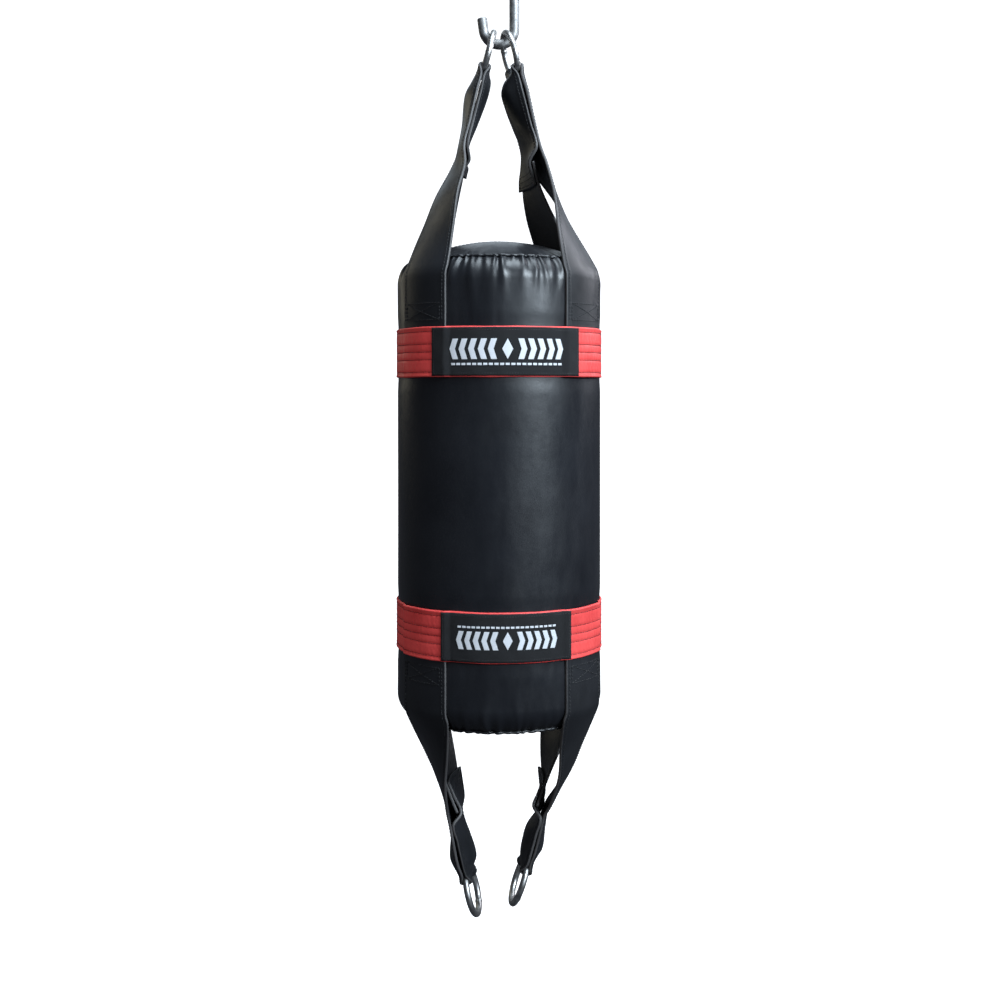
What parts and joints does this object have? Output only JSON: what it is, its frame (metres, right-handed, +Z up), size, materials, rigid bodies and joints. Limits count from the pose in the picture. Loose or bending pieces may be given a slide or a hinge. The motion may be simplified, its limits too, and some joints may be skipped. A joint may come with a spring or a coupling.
{
  "type": "uppercut bag",
  "caption": "Short cylindrical training bag hung on a hook by strap slings and rings, with reinforcing bands, labels and matching loose ring straps below.",
  "frame": {"origin": "inside crown of the hook's upper bend, the point that the bag hangs from; the bag's axis runs straight down from it", "axes": "+Z up along the bag's axis, -Y the labelled front, X across the bag from the left sling to the right sling"},
  "size_m": [0.2566, 0.2576, 1.2064],
  "materials": {
    "shell_vinyl": "satin",
    "binding_vinyl": "satin",
    "strap_vinyl": "satin",
    "foam": "matte",
    "textile_fill": "matte",
    "band_red": "satin",
    "label_woven": "matte",
    "hook_steel": "satin",
    "ring_steel": "polished",
    "zip_tape": "matte",
    "zip_metal": "satin"
  },
  "bodies": {
    "hook": {"hanging_hook": "hook_steel"},
    "top_rings": {"top_ring_left": "ring_steel", "top_ring_right": "ring_steel"},
    "bag": {"shell_side": "shell_vinyl", "shell_back_seam": "shell_vinyl", "cap_top": "shell_vinyl", "cap_bottom": "shell_vinyl", "seam_binding_top": "binding_vinyl", "seam_binding_bottom": "binding_vinyl", "foam_liner": "foam", "foam_pad_top": "foam", "foam_pad_bottom": "foam", "fill_core": "textile_fill", "band_top": "band_red", "band_bottom": "band_red", "label_top": "label_woven", "label_bottom": "label_woven", "strap_top_left_front": "strap_vinyl", "strap_top_left_rear": "strap_vinyl", "strap_top_right_front": "strap_vinyl", "strap_top_right_rear": "strap_vinyl", "strap_anchor_left_front": "strap_vinyl", "strap_anchor_left_rear": "strap_vinyl", "strap_anchor_right_front": "strap_vinyl", "strap_anchor_right_rear": "strap_vinyl", "zip_tape": "zip_tape", "zip_teeth": "zip_metal", "zip_stops": "zip_metal"},
    "tail_left": {"strap_tail_left_front": "strap_vinyl", "strap_tail_left_rear": "strap_vinyl"},
    "tail_right": {"strap_tail_right_front": "strap_vinyl", "strap_tail_right_rear": "strap_vinyl"},
    "lower_ring_left": {"bottom_ring_left": "ring_steel"},
    "lower_ring_right": {"bottom_ring_right": "ring_steel"},
    "slider": {"zip_slider": "zip_metal"},
    "pull": {"zip_pull": "zip_metal"}
  },
  "joints": [
    {"name": "side_swing", "type": "hinge", "parent": "hook", "child": "top_rings", "pos_m": [0, 0, -0.083], "axis": [0, 1, 0], "range_deg": [-25, 25]},
    {"name": "fore_aft_swing", "type": "hinge", "parent": "top_rings", "child": "bag", "pos_m": [0, 0, -0.11553], "axis": [1, 0, 0], "range_deg": [-17, 17]},
    {"name": "tail_left_swing", "type": "hinge", "parent": "bag", "child": "tail_left", "pos_m": [-0.117, 0, -0.93957], "axis": [0, 1, 0], "range_deg": [-3, 75], "stiffness_Nm_per_rad": 0.8},
    {"name": "tail_right_swing", "type": "hinge", "parent": "bag", "child": "tail_right", "pos_m": [0.117, 0, -0.93957], "axis": [0, -1, 0], "range_deg": [-3, 75], "stiffness_Nm_per_rad": 0.8},
    {"name": "lower_ring_left_rock", "type": "hinge", "parent": "tail_left", "child": "lower_ring_left", "pos_m": [-0.0408, 0, -1.13557], "axis": [0.2079, 0.9781, 0], "range_deg": [-25, 25]},
    {"name": "lower_ring_right_rock", "type": "hinge", "parent": "tail_right", "child": "lower_ring_right", "pos_m": [0.0351, 0, -1.12527], "axis": [0, 1, 0], "range_deg": [-25, 25]},
    {"name": "zip_run", "type": "hinge", "parent": "bag", "child": "slider", "pos_m": [0, 0, -0.58191], "axis": [0, 1, 0], "range_deg": [0, 32.97]},
    {"name": "zip_pull_flip", "type": "hinge", "parent": "slider", "child": "pull", "pos_m": [-0.06751, 0, -0.35375], "axis": [0, 1, 0], "range_deg": [0, 150]}
  ]
}
